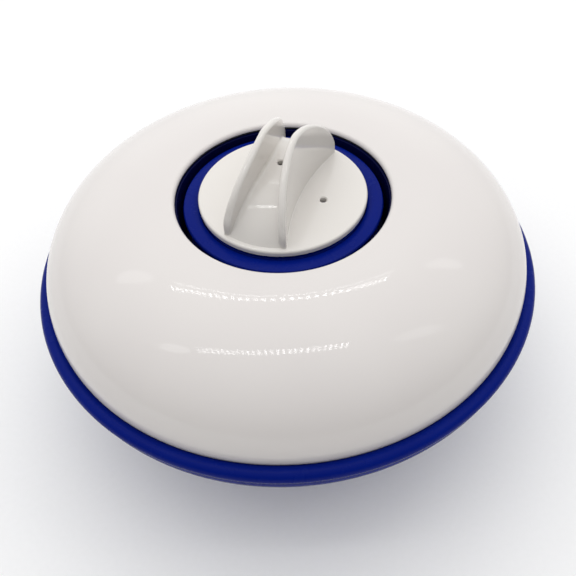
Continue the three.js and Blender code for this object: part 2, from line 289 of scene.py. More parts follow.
def close_up(piece):
    """Merge doubles and turn every face outwards."""
    edit(piece)
    bpy.ops.mesh.select_all(action="SELECT")
    bpy.ops.mesh.remove_doubles(threshold=MERGE * MM)
    bpy.ops.mesh.normals_make_consistent(inside=False)
    return leave()


def smooth(piece, degrees=34):
    deselect()
    bpy.context.view_layer.objects.active = piece
    piece.select_set(True)
    bpy.ops.object.shade_smooth_by_angle(angle=math.radians(degrees))
    return piece


def apply(piece, kind, **settings):
    """Add one modifier, set it and apply it."""
    deselect()
    bpy.context.view_layer.objects.active = piece
    piece.select_set(True)
    modifier = piece.modifiers.new(kind.lower(), kind)
    for key, value in settings.items():
        setattr(modifier, key, value)
    bpy.ops.object.modifier_apply(modifier=modifier.name)
    return piece


def boolean(piece, other, operation):
    apply(piece, "BOOLEAN", operation=operation, object=other, solver="EXACT")
    bpy.data.objects.remove(other, do_unlink=True)
    return piece


def cut(piece, other):
    return boolean(piece, other, "DIFFERENCE")


def join(piece, other):
    return boolean(piece, other, "UNION")


def arc(r, z, a, b, start, end, steps):
    """Points of an elliptic arc, angles in degrees."""
    turns = [math.radians(start + (end - start) * i / steps) for i in range(steps + 1)]
    return [(r + a * math.cos(t), z + b * math.sin(t)) for t in turns]


def corner(r, z, size, start, steps=4):
    """Rounded outer corner at (r, z), a quarter turn anticlockwise from start."""
    side = {-90: (-1, 1), 0: (-1, -1), 90: (1, -1), 180: (1, 1)}[start]
    return arc(r + side[0] * size, z + side[1] * size, size, size, start, start + 90, steps)


def turned(name, profile, degrees=360.0, start=0.0, steps=STEPS):
    """Spin a profile about Z, anticlockwise from start. It closes on itself,
    unless its ends are on the axis."""
    points = [Vector((r * MM, 0, z * MM)) for r, z in profile]
    if points[0].x > 0:
        points.append(points[0].copy())
    deselect()
    bpy.ops.mesh.primitive_plane_add(size=MM, location=(0, 0, 0))
    piece = bpy.context.object
    piece.name = name
    edit(piece, "VERT")
    bpy.ops.mesh.select_all(action="SELECT")
    bpy.ops.mesh.merge(type="CENTER")
    bpy.ops.transform.translate(value=points[0])
    for here, there in zip(points, points[1:]):
        bpy.ops.mesh.extrude_region_move(TRANSFORM_OT_translate={"value": there - here})
    bpy.ops.mesh.select_all(action="SELECT")
    if start:
        bpy.ops.transform.rotate(
            value=-math.radians(start), orient_axis="Z", center_override=(0, 0, 0))
    if degrees < 360:
        bpy.ops.mesh.remove_doubles(threshold=MERGE * MM)
        bpy.ops.mesh.edge_face_add()
    bpy.ops.mesh.spin(
        steps=steps, angle=math.radians(degrees), center=(0, 0, 0), axis=(0, 0, -1))
    leave()
    return smooth(close_up(piece))


def around(piece, count):
    """Copies of a cutter or lug round Z, joined into one mesh."""
    copies = [piece]
    for i in range(1, count):
        deselect()
        piece.select_set(True)
        bpy.context.view_layer.objects.active = piece
        bpy.ops.object.duplicate()
        copy = bpy.context.object
        copy.matrix_world = Matrix.Rotation(2 * math.pi * i / count, 4, "Z") @ copy.matrix_world
        copies.append(copy)
    deselect()
    for copy in copies:
        copy.select_set(True)
    bpy.context.view_layer.objects.active = piece
    bpy.ops.object.join()
    return settle(bpy.context.object)


def block(name, centre, size, turn=0.0, edge=0.0):
    """Box with rounded edges, turned about Z."""
    deselect()
    bpy.ops.mesh.primitive_cube_add(size=1, location=[c * MM for c in centre])
    piece = bpy.context.object
    piece.name = name
    piece.scale = [s * MM for s in size]
    settle(piece)
    if edge:
        edit(piece, "EDGE")
        bpy.ops.mesh.select_all(action="SELECT")
        bpy.ops.mesh.bevel(offset=edge * MM, segments=3, affect="EDGES")
        leave()
    if turn:
        piece.rotation_euler.z = math.radians(turn)
        settle(piece)
    return piece


def bar(name, x, y, r, low, high, steps=48):
    """Upright round bar."""
    deselect()
    bpy.ops.mesh.primitive_cylinder_add(
        vertices=steps, radius=r * MM, depth=(high - low) * MM,
        location=(x * MM, y * MM, (low + high) / 2 * MM))
    piece = bpy.context.object
    piece.name = name
    return settle(piece)


# ---------- materials ----------

ABS_IOR = 1.53
PP_IOR = 1.49
SATIN_GLOSS = 0.05  # specular level of the blue parts


def linear(code):
    """sRGB hex to linear colour."""
    parts = [int(code[i:i + 2], 16) / 255 for i in (1, 3, 5)]
    out = [p / 12.92 if p <= 0.04045 else ((p + 0.055) / 1.055) ** 2.4 for p in parts]
    return (*out, 1.0)


def node(tree, kind, settings=None, inputs=None, links=None):
    """Add a node, set its properties and sockets, and link sockets to it."""
    made = tree.nodes.new(kind)
    for key, value in (settings or {}).items():
        setattr(made, key, value)
    for key, value in (inputs or {}).items():
        made.inputs[key].default_value = value
    for key, socket in (links or {}).items():
        tree.links.new(socket, made.inputs[key])
    return made


def fresh(name):
    """New material with its shader and Object coordinates."""
    material = bpy.data.materials.new(name)
    material.use_nodes = True
    tree = material.node_tree
    shader = tree.nodes["Principled BSDF"]
    place = node(tree, "ShaderNodeTexCoord").outputs["Object"]
    return material, tree, shader, place


def noise(tree, place, size_mm, detail=2.0, rough=0.5):
    """Noise whose features are about size_mm across."""
    return node(
        tree, "ShaderNodeTexNoise", inputs={
            "Scale": 1 / (size_mm * MM), "Detail": detail, "Roughness": rough},
        links={"Vector": place}).outputs["Fac"]


def spread(tree, value, low, high, at=(0.3, 0.7)):
    """Map a pattern to a range."""
    return node(
        tree, "ShaderNodeMapRange", inputs={
            "From Min": at[0], "From Max": at[1], "To Min": low, "To Max": high},
        links={"Value": value}).outputs["Result"]


def shade_between(tree, factor, dark, light):
    mix = node(tree, "ShaderNodeMix", {"data_type": "RGBA"}, links={"Factor": factor})
    mix.inputs[6].default_value = linear(dark)
    mix.inputs[7].default_value = linear(light)
    return mix.outputs[2]


def bumped(tree, shader, layers):
    """Stack bumps of (pattern, depth in mm, strength)."""
    normal = None
    for pattern, depth, strength in layers:
        links = {"Height": pattern}
        if normal:
            links["Normal"] = normal
        bump = node(
            tree, "ShaderNodeBump",
            inputs={"Strength": strength, "Distance": depth * MM}, links=links)
        normal = bump.outputs["Normal"]
    tree.links.new(normal, shader.inputs["Normal"])


def polished_abs(name, dark, light, rough, wave, gloss):
    """Polished moulded ABS: long shallow waves from the mould bend the
    reflections, and faint handling haze breaks them up. The waves are that
    many millimetres deep."""
    material, tree, shader, place = fresh(name)
    drift = noise(tree, place, size_mm=60, detail=1.0)
    haze = noise(tree, place, size_mm=9, detail=5.0, rough=0.6)
    waves = noise(tree, place, size_mm=28, detail=1.0)
    ripple = noise(tree, place, size_mm=7, detail=1.0)
    tree.links.new(shade_between(tree, drift, dark, light), shader.inputs["Base Color"])
    tree.links.new(spread(tree, haze, *rough), shader.inputs["Roughness"])
    bumped(tree, shader, [(waves, wave, 0.4), (ripple, 0.012, 0.5)])
    shader.inputs["IOR"].default_value = ABS_IOR
    shader.inputs["Specular IOR Level"].default_value = gloss
    return material


def moulded_blue(name, dark, light):
    """Blue moulded polypropylene: satin gloss with a soft orange peel and
    slight clouding of the pigment."""
    material, tree, shader, place = fresh(name)
    cloud = noise(tree, place, size_mm=35, detail=3.0)
    peel = noise(tree, place, size_mm=1.6, detail=2.0)
    waves = noise(tree, place, size_mm=16, detail=1.0)
    haze = noise(tree, place, size_mm=6, detail=4.0)
    tree.links.new(shade_between(tree, cloud, dark, light), shader.inputs["Base Color"])
    tree.links.new(spread(tree, haze, low=0.20, high=0.30), shader.inputs["Roughness"])
    bumped(tree, shader, [(waves, 0.12, 0.4), (peel, 0.02, 0.35)])
    shader.inputs["IOR"].default_value = PP_IOR
    shader.inputs["Specular IOR Level"].default_value = SATIN_GLOSS
    return material


def natural_pp(name="natural_polypropylene"):
    """Undyed moulded polypropylene: waxy, slightly see-through, fine grain."""
    material, tree, shader, place = fresh(name)
    cloud = noise(tree, place, size_mm=20, detail=2.0)
    grain = noise(tree, place, size_mm=0.5, detail=2.0)
    tree.links.new(shade_between(tree, cloud, "#d9dbd7", "#e6e7e3"), shader.inputs["Base Color"])
    tree.links.new(spread(tree, grain, low=0.42, high=0.58), shader.inputs["Roughness"])
    bumped(tree, shader, [(grain, 0.02, 0.3)])
    shader.inputs["IOR"].default_value = PP_IOR
    shader.inputs["Subsurface Weight"].default_value = 0.15
    shader.inputs["Subsurface Radius"].default_value = (0.003, 0.003, 0.003)
    return material


def seal_rubber(name="moulded_epdm_rubber"):
    """Black EPDM: matt, with a dusty bloom."""
    material, tree, shader, place = fresh(name)
    bloom = noise(tree, place, size_mm=5, detail=4.0)
    grain = noise(tree, place, size_mm=0.4, detail=2.0)
    tree.links.new(shade_between(tree, bloom, "#171718", "#2a2a2b"), shader.inputs["Base Color"])
    tree.links.new(spread(tree, grain, low=0.65, high=0.85), shader.inputs["Roughness"])
    bumped(tree, shader, [(grain, 0.02, 0.5)])
    return material


def sand_cast_iron(name="sand_cast_iron"):
    """Cast iron: dull grey with a sandy skin and a hint of rust."""
    material, tree, shader, place = fresh(name)
    rust = noise(tree, place, size_mm=8, detail=6.0, rough=0.6)
    sand = noise(tree, place, size_mm=0.8, detail=3.0)
    tree.links.new(shade_between(tree, rust, "#4a4744", "#5e5f62"), shader.inputs["Base Color"])
    tree.links.new(spread(tree, sand, low=0.5, high=0.75), shader.inputs["Roughness"])
    bumped(tree, shader, [(sand, 0.15, 0.6)])
    shader.inputs["Metallic"].default_value = 0.85
    return material


def turned_stainless(name="turned_stainless_steel"):
    """Stainless steel with fine machining marks."""
    material, tree, shader, place = fresh(name)
    marks = noise(tree, place, size_mm=0.3, detail=3.0)
    tree.links.new(shade_between(tree, marks, "#a5a7aa", "#c4c6c8"), shader.inputs["Base Color"])
    tree.links.new(spread(tree, marks, low=0.22, high=0.38), shader.inputs["Roughness"])
    bumped(tree, shader, [(marks, 0.01, 0.3)])
    shader.inputs["Metallic"].default_value = 1.0
    return material


WHITE_ABS = polished_abs(
    "polished_white_abs", "#d6d1cf", "#dcd8d5", rough=(0.03, 0.06), wave=0.25, gloss=0.3)
LID_ABS = polished_abs(
    "moulded_white_abs", "#d8d4cf", "#dedad5", rough=(0.05, 0.10), wave=0.12, gloss=0.5)
BLUE_PP = moulded_blue("moulded_blue_polypropylene", "#03146c", "#041c79")
# Darker copy of the same blue plastic: painted shade for the tube and cup, which lie in the
# shadow under the dome's lip.
BLUE_PP_PAINTED_SHADE = moulded_blue("blue_polypropylene_painted_shade", "#03062c", "#050a3c")
NATURAL_PP = natural_pp()
RUBBER = seal_rubber()
IRON = sand_cast_iron()
STAINLESS = turned_stainless()


def finished(piece, body, material, slot, *nodes):
    """Give a piece its material and body, and let it stand for its nodes."""
    piece.data.materials.clear()
    piece.data.materials.append(material)
    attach(piece, body)
    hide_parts(*nodes)
    return piece


# ---------- float ----------


def dome():
    under = CROWN_Z - WALL
    wide, high = DOME_R - CROWN_R, CROWN_Z - DOME_Z
    edge_low, skirt_end = RIM_Z - EDGE_DROP, under - SKIRT_DEEP
    profile = [
        *corner(EDGE_IN, edge_low, 0.5, 180), *corner(EDGE_OUT, edge_low, 0.6, -90),
        *[(r, RIM_Z + up) for r, up in EDGE_SWEEP],
        *arc(CROWN_R, DOME_Z, wide, high, 0, 90, 56),
        *[(r, CROWN_Z) for r in CROWN_FLAT],
        *arc(MOUTH_R + LIP, CROWN_Z - LIP, LIP, LIP, 90, 180, 8),
        *corner(MOUTH_R, under, 0.3, 180),
        (SKIRT_IN, under), (SKIRT_IN, skirt_end + SKIRT_EDGE),
        (SKIRT_IN + SKIRT_EDGE, skirt_end), (SKIRT_OUT - SKIRT_EDGE, skirt_end),
        (SKIRT_OUT, skirt_end + SKIRT_EDGE), (SKIRT_OUT, under),
        *arc(CROWN_R, DOME_Z, wide - WALL, high - WALL, 90, 0, 28),
        (EDGE_INSIDE[0], RIM_Z + EDGE_INSIDE[1]),
    ]
    piece = turned("dome", profile, steps=FINE)
    return finished(piece, "float", WHITE_ABS, "white_gloss", "dome_shell")


def base():
    """Pan, band and beaded rim, with the channel for the dome's edge."""
    pan = foot("base_shell")
    band, drop = BAND_R - PAN_BEND_R, PAN_BEND_Z - pan
    hole = TUBE_R + WALL + GAP
    channel_floor, channel_wall = RIM_Z - CHANNEL_DEEP, CHANNEL_IN - CHANNEL_WALL
    profile = [
        (hole, pan), *arc(PAN_BEND_R, PAN_BEND_Z, band, drop, -90, 0, 20),
        *arc(BEAD_R, RIM_Z, BEAD, BEAD, BEAD_START, 180, 40),
        (CHANNEL_OUT, channel_floor), (CHANNEL_IN, channel_floor), (CHANNEL_IN, CHANNEL_TOP),
        (channel_wall, CHANNEL_TOP), (channel_wall, channel_floor - WALL),
        (BEAD_R, channel_floor - WALL),
        *arc(PAN_BEND_R, PAN_BEND_Z, band - WALL, drop - WALL, 0, -90, 10),
        (hole, pan + WALL),
    ]
    piece = turned("base", profile, steps=FINE)
    return finished(piece, "float", BLUE_PP, "blue_gloss", "base_shell")


def neck_tube():
    """Stepped tube: a flange under the pan, and the cup that opens in the dome."""
    low, flange = foot("neck_tube"), radius("neck_tube")
    under_pan, cup_out = foot("base_shell") - GAP, CUP_R + CUP_WALL
    profile = [
        *corner(TUBE_R, low, 0.4, 180), *corner(flange, low, 1, -90),
        *corner(flange, under_pan, 0.3, 0), (TUBE_R + WALL, under_pan),
        (TUBE_R + WALL, SHELF_Z - WALL), *corner(cup_out, SHELF_Z - WALL, 0.5, -90),
        *corner(cup_out, CUP_TOP, 0.5, 0), *corner(CUP_R, CUP_TOP, 0.6, 90),
        *arc(CUP_R - CUP_FILLET, SHELF_Z + CUP_FILLET, CUP_FILLET, CUP_FILLET, 0, -90, 4),
        *corner(TUBE_R, SHELF_Z, 0.5, 90),
    ]
    piece = turned("neck_tube_and_cup", profile, steps=FINE)
    # The tube and cup take the darker copy of the blue, painted shade for the moat under the
    # dome's lip.
    return finished(piece, "float", BLUE_PP_PAINTED_SHADE, "navy_satin", "neck_tube")


def gasket(node_name, body="float"):
    """Rubber ring with rounded edges, filling its node's place."""
    low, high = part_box(node_name)
    inner, outer, low, high = GASKET_IN[node_name], high.y / MM, low.z / MM, high.z / MM
    edge = min(GASKET_EDGE, 0.45 * (high - low))
    profile = [
        *corner(inner, low, edge, 180), *corner(outer, low, edge, -90),
        *corner(outer, high, edge, 0), *corner(inner, high, edge, 90)]
    piece = turned(node_name + "_ring", profile, steps=96)
    return finished(piece, body, RUBBER, "seal_rubber", node_name)


def collar():
    """Barrel, flange and deck, with the bayonet's notches and stops in its bore."""
    flange_top = FLANGE_Z + FLANGE_THICK
    across = [i / 10 for i in range(11)]
    deck = [(DECK_OUT - DECK_WIDE * t,
             DECK_Z - DECK_CREST + DECK_CREST * math.sin(math.pi * t)) for t in across]
    profile = [
        (BARREL_IN, BARREL_END), *corner(BARREL_R, BARREL_END, 0.5, -90),
        (BARREL_R, FLANGE_Z), *corner(FLANGE_R, FLANGE_Z, 0.4, -90),
        *corner(FLANGE_R, flange_top, 0.4, 0), (COLLAR_R, flange_top),
        (COLLAR_R, DECK_EDGE_Z), *corner(DECK_R, DECK_EDGE_Z, 0.6, -90),
        *arc(DECK_OUT - 0.6, DECK_Z - 1.5, 1.2, 1.1, 0, 60, 6),
        *deck, *arc(GROOVE_R + 0.6, DECK_Z - 0.95, 0.6, 0.6, 100, 180, 4),
        (GROOVE_R, RECESS_Z), *corner(BORE_R, RECESS_Z, 0.3, 90),
        (BORE_R, LEDGE_Z), (GROOVE_R, LEDGE_Z), (GROOVE_R, GROOVE_Z), (BORE_R, GROOVE_Z),
        (BORE_R, BORE_END), (BARREL_IN, BORE_END - (BARREL_IN - BORE_R)),
    ]
    piece = turned("collar", profile, steps=168)
    notch_in, notch_low, notch_high = BORE_R - 1.3, LEDGE_Z - 1, RECESS_Z + 1
    notch = turned(
        "notch", [(notch_in, notch_low), (GROOVE_R, notch_low), (GROOVE_R, notch_high),
                  (notch_in, notch_high)], NOTCH_ARC, -NOTCH_ARC / 2, 12)
    cut(piece, around(notch, LOCKS))
    stop_out, stop_low, stop_high = GROOVE_R + 1, GROOVE_Z - 0.5, LEDGE_Z + 0.5
    entry, lock = -NOTCH_ARC / 2 - STOP_ARC, LOCK_TURN + LUG_ARC / 2 + LOCK_PLAY
    stops = [turned(
        "stop", [(BORE_R, stop_low), (stop_out, stop_low), (stop_out, stop_high),
                 (BORE_R, stop_high)], STOP_ARC, start, 2) for start in (entry, lock)]
    for stop in stops:
        join(piece, around(stop, LOCKS))
    smooth(piece)
    return finished(piece, "float", BLUE_PP, "blue_gloss", "neck_collar")


def nut():
    """Hand nut with eight soft waves to grip."""
    low, high = foot("retaining_nut"), top("retaining_nut")
    profile = [
        *corner(NUT_IN, low, 0.5, 180), *corner(NUT_R, low, NUT_EDGE, -90, 6),
        (NUT_R, (low + high) / 2), *corner(NUT_R, high, NUT_EDGE, 0, 6),
        *corner(NUT_IN, high, 0.5, 90)]
    piece = turned("hand_nut", profile, steps=240)
    for vertex in piece.data.vertices:
        flat = Vector((vertex.co.x, vertex.co.y, 0))
        share = max(0, (flat.length / MM - NUT_ROOT) / (NUT_R - NUT_ROOT))
        wave = NUT_WAVE * share * math.cos(NUT_WAVES * math.atan2(flat.y, flat.x)) * MM
        vertex.co += flat.normalized() * wave
    return finished(piece, "float", BLUE_PP, "blue_gloss", "retaining_nut")


# ---------- canister ----------


def side_windows(name, width, places):
    """Cutters through a wall on the four sides."""
    low, high = WINDOW["low"], WINDOW["high"]
    edge = min(WINDOW_EDGE, 0.4 * width)
    cutters = [block(name, (BASKET_R, place, (low + high) / 2),
                     (WINDOW_CUT, width, high - low), 0, edge) for place in places]
    deselect()
    for cutter in cutters:
        cutter.select_set(True)
    bpy.context.view_layer.objects.active = cutters[0]
    bpy.ops.object.join()
    return around(bpy.context.object, SIDES)


def basket():
    low, high = foot("tablet_basket"), top("tablet_basket")
    profile = [
        *corner(BASKET_BORE, low, 0.4, 180), *corner(BASKET_R, low, 0.8, -90),
        *corner(BASKET_R, SHOULDER_Z, 0.5, 0), (SHOULDER_R, SHOULDER_Z),
        (SHOULDER_R, high - 1), (SHOULDER_R - 1, high), (CHAMBER_R, high),
        (CHAMBER_R, BASKET_FLOOR), (BASKET_BORE, BASKET_FLOOR)]
    piece = turned("slotted_basket", profile)
    cut(piece, side_windows("slots", SLOT_WIDTH, [SLOT_STEP * i for i in range(-2, 3)]))
    pilot = bar("pilot", SCREW_XY, SCREW_XY, SCREW_HOLE, low - 1, BASKET_FLOOR + 1, 24)
    cut(piece, around(pilot, SIDES))
    smooth(piece)
    return finished(piece, "float", NATURAL_PP, "white_matt", "tablet_basket")


def grate():
    low, high = foot("tablet_grate"), top("tablet_grate")
    profile = [
        (0, low), *corner(GRATE_R, low, 0.5, -90), *corner(GRATE_R, high, 0.5, 0), (0, high)]
    piece = turned("slotted_grate", profile)
    for i in range(-4, 5):
        x = GRATE_STEP * i
        length = 2 * math.sqrt(GRATE_REACH ** 2 - x ** 2)
        cut(piece, block("slot", (x, 0, low + 1), (SLOT_WIDTH, length, 6), 0, WINDOW_EDGE))
    smooth(piece)
    return finished(piece, "float", NATURAL_PP, "white_matt", "tablet_grate")


def sleeve():
    low, high = foot("flow_sleeve"), top("flow_sleeve")
    profile = [
        *corner(SLEEVE_IN, low, 0.4, 180), *corner(SLEEVE_OUT, low, 0.8, -90),
        *corner(SLEEVE_OUT, high, 0.8, 0), *corner(SLEEVE_IN, high, 0.4, 90)]
    piece = turned("windowed_sleeve", profile)
    cut(piece, side_windows("window", WINDOW["width"], (0,)))
    ribs = None
    for turn in RIB["turns"]:
        rib = block("rib", (RIB["r"], 0, RIB["z"]), RIB["size"], turn, RIB["edge"])
        ribs = join(ribs, rib) if ribs else rib
    join(piece, around(ribs, SIDES))
    smooth(piece)
    return finished(piece, "sleeve", BLUE_PP, "blue_gloss", "flow_sleeve")


def foot_cap():
    high = top("ballast_cap")
    fillet_r, fillet_z = FOOT_WALL_IN - FOOT_FILLET, FOOT_FLOOR + FOOT_FILLET
    profile = [
        (0, 0), (FOOT_FLAT, 0),
        *arc(FOOT_R - FOOT_EDGE, FOOT_EDGE, FOOT_EDGE, FOOT_EDGE, -90, 0, 8),
        *corner(FOOT_R, high, 0.8, 0), *corner(FOOT_WALL_IN, high, 0.6, 90),
        *arc(fillet_r, fillet_z, FOOT_FILLET, FOOT_FILLET, 0, -90, 4), (0, FOOT_FLOOR)]
    piece = turned("foot_cap", profile)
    recess_r, recess_top = SCREW_RECESS
    join(piece, around(bar("boss", SCREW_XY, SCREW_XY, PILLAR_R, 1, PILLAR_TOP), SIDES))
    cut(piece, around(bar("hole", SCREW_XY, SCREW_XY, SCREW_HOLE, -1, 15), SIDES))
    cut(piece, around(bar("recess", SCREW_XY, SCREW_XY, recess_r, -1, recess_top), SIDES))
    smooth(piece)
    return finished(piece, "float", BLUE_PP, "blue_gloss", "ballast_cap")


def weight():
    low, high = foot("ballast_weight"), top("ballast_weight")
    profile = [
        *corner(WEIGHT_IN, low, 1, 180), *corner(WEIGHT_OUT, low, 1.5, -90),
        *corner(WEIGHT_OUT, high, 1.5, 0), *corner(WEIGHT_IN, high, 1, 90)]
    piece = turned("iron_ring", profile, steps=96)
    return finished(piece, "float", IRON, "ballast_iron", "ballast_weight")


def screws():
    """Pan-head screws with a cross recess, heads down in the foot."""
    rounding = 1.4
    profile = [
        (0, SCREW_LOW),
        *arc(SCREW_HEAD - rounding, SCREW_LOW + rounding, rounding, rounding, -90, 0, 6),
        (SCREW_HEAD, SCREW_UNDER - 0.2), (SCREW_HEAD - 0.1, SCREW_UNDER),
        (SCREW_SHANK, SCREW_UNDER), (SCREW_SHANK, SCREW_TIP - 0.8),
        (SCREW_SHANK - 0.7, SCREW_TIP), (0, SCREW_TIP)]
    wide, narrow, deep = CROSS
    for i in range(SIDES):
        piece = turned(f"screw_{i + 1}", profile, steps=40)
        cut(piece, block("cross", (0, 0, 0.9), (wide, narrow, deep)))
        cut(piece, block("cross", (0, 0, 0.9), (narrow, wide, deep)))
        turn = math.radians(45 + 90 * i)
        piece.location = (SCREW_RING * MM * math.cos(turn), SCREW_RING * MM * math.sin(turn), 0)
        piece.rotation_euler.z = turn
        smooth(settle(piece))
        finished(piece, "float", STAINLESS, "stainless", f"cap_screw_{i + 1}")


# ---------- lid ----------


def half_width(y):
    """Hourglass half width of the grip at its foot."""
    return WAIST + FLARE * (y / FLARE_AT) ** 2


def rise(peak, half, power, root, y):
    """Height of an arched outline at y."""
    return peak * max(0.0, 1 - (abs(y) / half) ** power) ** (1 / root)


def draped(name, columns, rows, place, low):
    """Closed body: a sheet whose corner (i, j) is place(i, j) in mm, let down
    to the height low."""
    deselect()
    bpy.ops.mesh.primitive_grid_add(
        x_subdivisions=columns - 1, y_subdivisions=rows - 1, size=80 * MM, location=(0, 0, 0))
    piece = bpy.context.object
    piece.name = name
    across = sorted({round(v.co.x, 6) for v in piece.data.vertices})
    along = sorted({round(v.co.y, 6) for v in piece.data.vertices})
    for vertex in piece.data.vertices:
        i = across.index(round(vertex.co.x, 6))
        j = along.index(round(vertex.co.y, 6))
        vertex.co = Vector(place(i, j)) * MM
    edit(piece)
    bpy.ops.mesh.select_all(action="SELECT")
    bpy.ops.mesh.extrude_region_move(TRANSFORM_OT_translate={"value": (0, 0, 0)})
    bpy.ops.transform.resize(
        value=(1, 1, 0), orient_type="GLOBAL", center_override=(0, 0, low * MM))
    leave()
    return close_up(piece)


def fin_section(y):
    """Section of one fin at y, as (offset from its middle, height), from the
    plate outside it, over its rounded rim and down to the plate inside it."""
    tall = max(0.5, rise(FIN_RISE, FIN_HALF, FIN_POWER, FIN_ROOT, y))
    left = max(0.0, FIN_HALF - abs(y))
    inset = 0.0
    if left < FIN_END:
        inset = FIN_END - math.sqrt(FIN_END ** 2 - (FIN_END - left) ** 2)
    thick = FIN_THICK / 2 - inset
    tip = min(FIN_TIP, 0.96 * thick, 0.6 * tall)
    flare = min(FIN_FOOT, 0.2 * tall)
    side = []
    for i in range(5):
        t = math.pi / 2 * i / 4
        side.append((thick + flare * (1 - math.sin(t)), flare * (1 - math.cos(t))))
    lean = FIN_DRAFT * min(1.0, tall / 20)
    for i in range(1, 6):
        t = i / 6
        side.append((thick - lean * t, flare + (tall - tip - flare) * t))
    for i in range(9):
        t = math.pi / 2 * i / 8
        side.append((thick - lean - tip + tip * math.cos(t), tall - tip + tip * math.sin(t)))
    return side + [(-x, z) for x, z in reversed(side)]


def fin(side):
    """One fin, bowed outwards towards its ends."""
    rows, columns = 73, len(fin_section(0))

    def place(i, j):
        y = FIN_HALF * math.sin(math.pi / 2 * (2 * j / (rows - 1) - 1))
        offset, height = fin_section(y)[i]
        middle = half_width(y) - FIN_THICK / 2
        return side * middle + offset, y, LID_TOP + height

    return draped("fin", columns, rows, place, LID_TOP - 1.2)


def web_edge(x):
    """How far the web reaches along Y at x; its ends follow the plate's edge."""
    return math.sqrt(WEB_HALF ** 2 - x ** 2)


def web():
    """Arched web between the fins, with a small fillet along each of them."""
    fillet, rows = WEB_FILLET, 65
    shares = [-1, *[-math.sin(math.pi / 2 * i / 6) for i in range(5, 0, -1)], 0]
    flat = [-0.66, -0.33, 0, 0.33, 0.66]
    columns = 2 * (len(shares) + 1) + len(flat)

    def across(i, y):
        """Place from the middle of the grip, and how far up the fillet it is."""
        inner = half_width(y) - FIN_THICK
        if i == 0:
            return -(inner + FIN_THICK / 2), fillet
        if i <= len(shares):
            run = fillet * math.cos(math.pi / 2 * (i - 1) / (len(shares) - 1))
            lift = fillet - math.sqrt(max(0.0, fillet ** 2 - run ** 2))
            return -(inner - fillet + run), lift
        if i <= len(shares) + len(flat):
            return flat[i - 1 - len(shares)] * (inner - fillet), 0.0
        x, lift = across(columns - 1 - i, y)
        return -x, lift

    def place(i, j):
        turn = math.sin(math.pi / 2 * (2 * j / (rows - 1) - 1))
        x, lift = across(i, WEB_HALF * turn)
        y = web_edge(x) * turn
        height = rise(WEB_RISE, 1, WEB_POWER, 1, turn)
        return x, y, LID_TOP + height + lift * min(1, height / 3)

    return draped("web", columns, rows, place, LID_TOP - 1.5)


def web_hollow():
    """Cutter that hollows the web from below."""
    rows = 41

    def place(i, j):
        y = HOLLOW_HALF * (2 * j / (rows - 1) - 1)
        height = rise(WEB_RISE, WEB_HALF, WEB_POWER, 1, y) - WEB_SKIN
        return HOLLOW_WIDE * (i - 1), y, LID_TOP + height

    return draped("web_hollow", 3, rows, place, LID_LOW - 1)


def snap_hooks():
    """Snap legs that reach through the inner cap and catch under it."""
    low, catch, root = foot("lid"), CAP_UNDER - GAP, LID_LOW + 1
    outer = HOOK_R + HOOK_THICK
    tooth = outer + HOOK_CATCH
    profile = [
        (HOOK_R, low), (outer, low), (tooth, catch - 0.8), (tooth, catch), (outer, catch),
        (outer, root), (HOOK_R, root)]
    return around(turned("hook", profile, HOOK_ARC, HOOK_TURN - HOOK_ARC / 2, 6), LOCKS)


def vent(x, low, high):
    """Cutter for a vent with a small broken edge at its top."""
    mouth = VENT_R + VENT_EDGE
    profile = [
        (0, low), (VENT_R, low), (VENT_R, high - VENT_EDGE), (mouth, high), (mouth, high + 2),
        (0, high + 2)]
    piece = turned("vent", profile, steps=40)
    piece.location.x = x * MM
    return settle(piece)


def lid():
    """Plate with its grip, vents and snap hooks."""
    profile = [
        (0, LID_LOW), (LID_R - 2, LID_LOW), *corner(LID_R, LID_LOW, 0.5, -90),
        *corner(LID_R, LID_TOP, LID_EDGE, 0, 8), (LID_R - 2.5, LID_TOP), (LID_R - 4, LID_TOP),
        (30, LID_TOP), (0, LID_TOP)]
    piece = turned("lid_and_grip", profile, steps=FINE)
    for part in (web(), fin(-1), fin(1)):
        join(piece, part)
    cut(piece, web_hollow())
    for x in (-VENT_X, VENT_X):
        cut(piece, vent(x, LID_LOW - 1, LID_TOP))
    cut(piece, vent(0, LID_TOP + 10, LID_TOP + WEB_RISE))
    join(piece, snap_hooks())
    smooth(piece, 40)
    apply(piece, "WEIGHTED_NORMAL", keep_sharp=True, weight=80)
    return finished(piece, "lid_plate", LID_ABS, "lid_white", "lid")


def cap_plug():
    """Inner cap: a plug with the bayonet lugs, slotted for the snap hooks."""
    low = foot("inner_cap")
    profile = [
        (0, CAP_UNDER), (PLUG_IN, CAP_UNDER), *corner(PLUG_IN, low, 0.4, 180),
        *corner(PLUG_R, low, 0.6, -90), (PLUG_R, CAP_UNDER), *corner(CAP_R, CAP_UNDER, 0.4, -90),
        *corner(CAP_R, CAP_TOP, 0.5, 0), (0, CAP_TOP)]
    piece = turned("bayonet_plug", profile)
    lug_in, lug_flat = PLUG_R - 0.4, LUG_OUT - LUG_EDGE
    lug = turned("lug", [
        (lug_in, LUG_LOW), (lug_flat, LUG_LOW), (LUG_OUT, LUG_LOW + LUG_EDGE),
        (LUG_OUT, LUG_HIGH - LUG_EDGE), (lug_flat, LUG_HIGH), (lug_in, LUG_HIGH)],
        LUG_ARC, -LUG_ARC / 2, 12)
    join(piece, around(lug, LOCKS))
    slot_in, slot_out = HOOK_R - 0.6, HOOK_R + HOOK_THICK + 0.4
    below, above = CAP_UNDER - 1, CAP_TOP + 1
    slot = turned("slot", [
        (slot_in, below), (slot_out, below), (slot_out, above), (slot_in, above)],
        HOOK_SLOT_ARC, HOOK_TURN - HOOK_SLOT_ARC / 2, 8)
    cut(piece, around(slot, LOCKS))
    cut(piece, bar("gas_hole", 0, 0, GAS_HOLE_R, below, above))
    smooth(piece)
    return finished(piece, "plug", BLUE_PP, "blue_gloss", "inner_cap")


